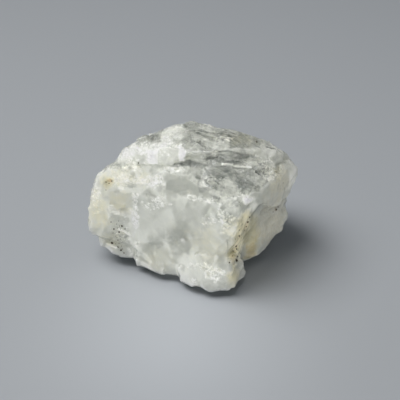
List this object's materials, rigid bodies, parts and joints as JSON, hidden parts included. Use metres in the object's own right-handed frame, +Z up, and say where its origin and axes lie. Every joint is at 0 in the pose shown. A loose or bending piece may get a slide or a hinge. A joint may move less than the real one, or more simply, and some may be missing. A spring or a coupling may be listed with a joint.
{
  "type": "rough petalite",
  "caption": "Broken lump of pale, milky, partly see-through mineral with one broad clean cleavage face, stepped plates on top and a small flat spot to lie on.",
  "frame": {"origin": "bottom centre of the stone's box, on the table that it lies on", "axes": "+X along the stone's length, towards its rounded end; +Z up, its shortest extent; the broad clean cleavage face looks towards -Y"},
  "size_m": [0.051, 0.0388, 0.0309],
  "materials": {
    "petalite": "milky and partly see-through, glassy on clean cleavage faces, white and sparkling where crushed, dull with yellow-brown stains and black specks in places"
  },
  "bodies": {
    "root": {"stone": "petalite"}
  },
  "joints": []
}
